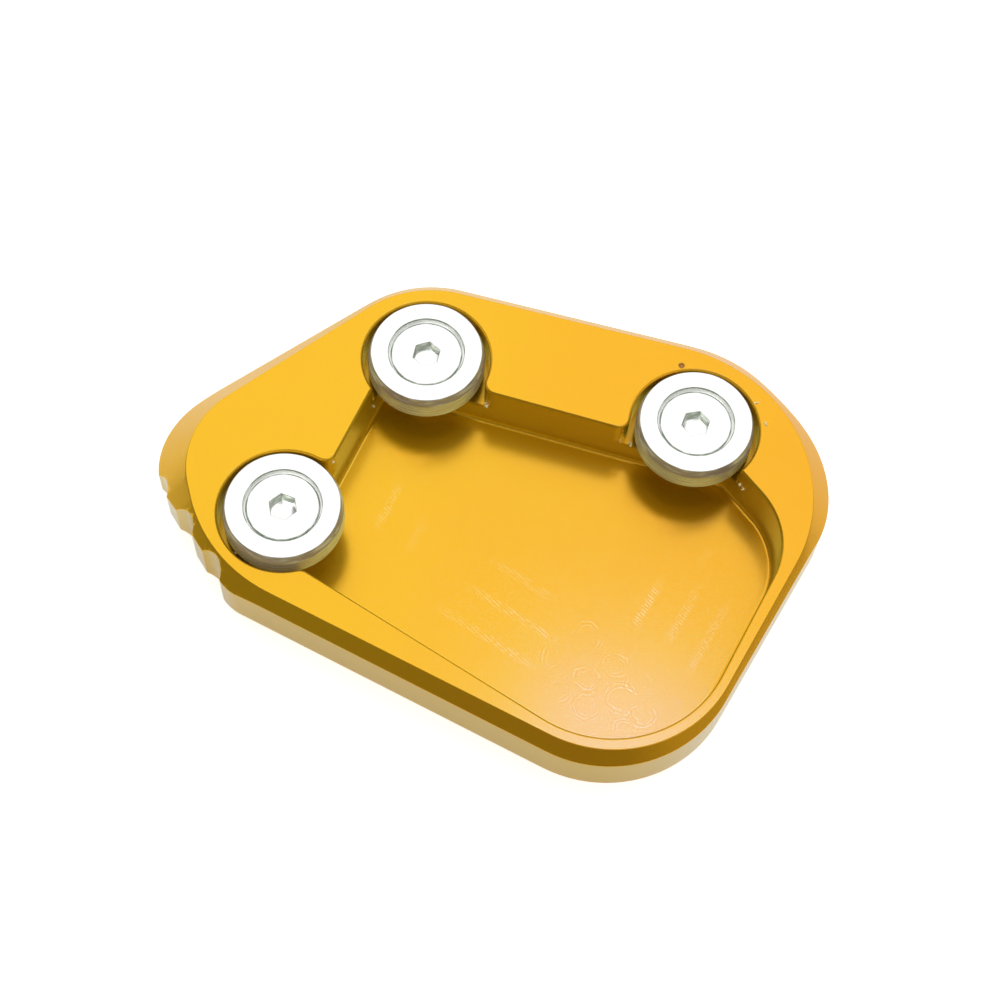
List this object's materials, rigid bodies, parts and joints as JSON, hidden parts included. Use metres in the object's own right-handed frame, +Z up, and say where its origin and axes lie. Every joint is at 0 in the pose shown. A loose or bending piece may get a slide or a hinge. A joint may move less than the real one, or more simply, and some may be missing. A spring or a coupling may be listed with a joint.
{
  "type": "kickstand foot enlarger",
  "caption": "Flat milled plate with a bevelled outline and a foot-shaped pocket edged by round screwed clamps, made to widen the foot of a motorbike's side stand.",
  "frame": {"origin": "centre of the plate's outline box, on its ground face", "axes": "+X along the long side towards the wide rounded end, +Y from the long straight side towards the far clamps, +Z up out of the ground"},
  "size_m": [0.1006, 0.0744, 0.0144],
  "materials": {
    "gold_anodised": "satin gold anodised, milled",
    "bare_aluminium": "turned, bright",
    "screw_steel": "bright zinc plated"
  },
  "bodies": {
    "root": {"base_plate": "gold_anodised", "left_clamp": "bare_aluminium", "far_clamp": "bare_aluminium", "right_clamp": "bare_aluminium", "clamp_screws": "screw_steel"}
  },
  "joints": []
}
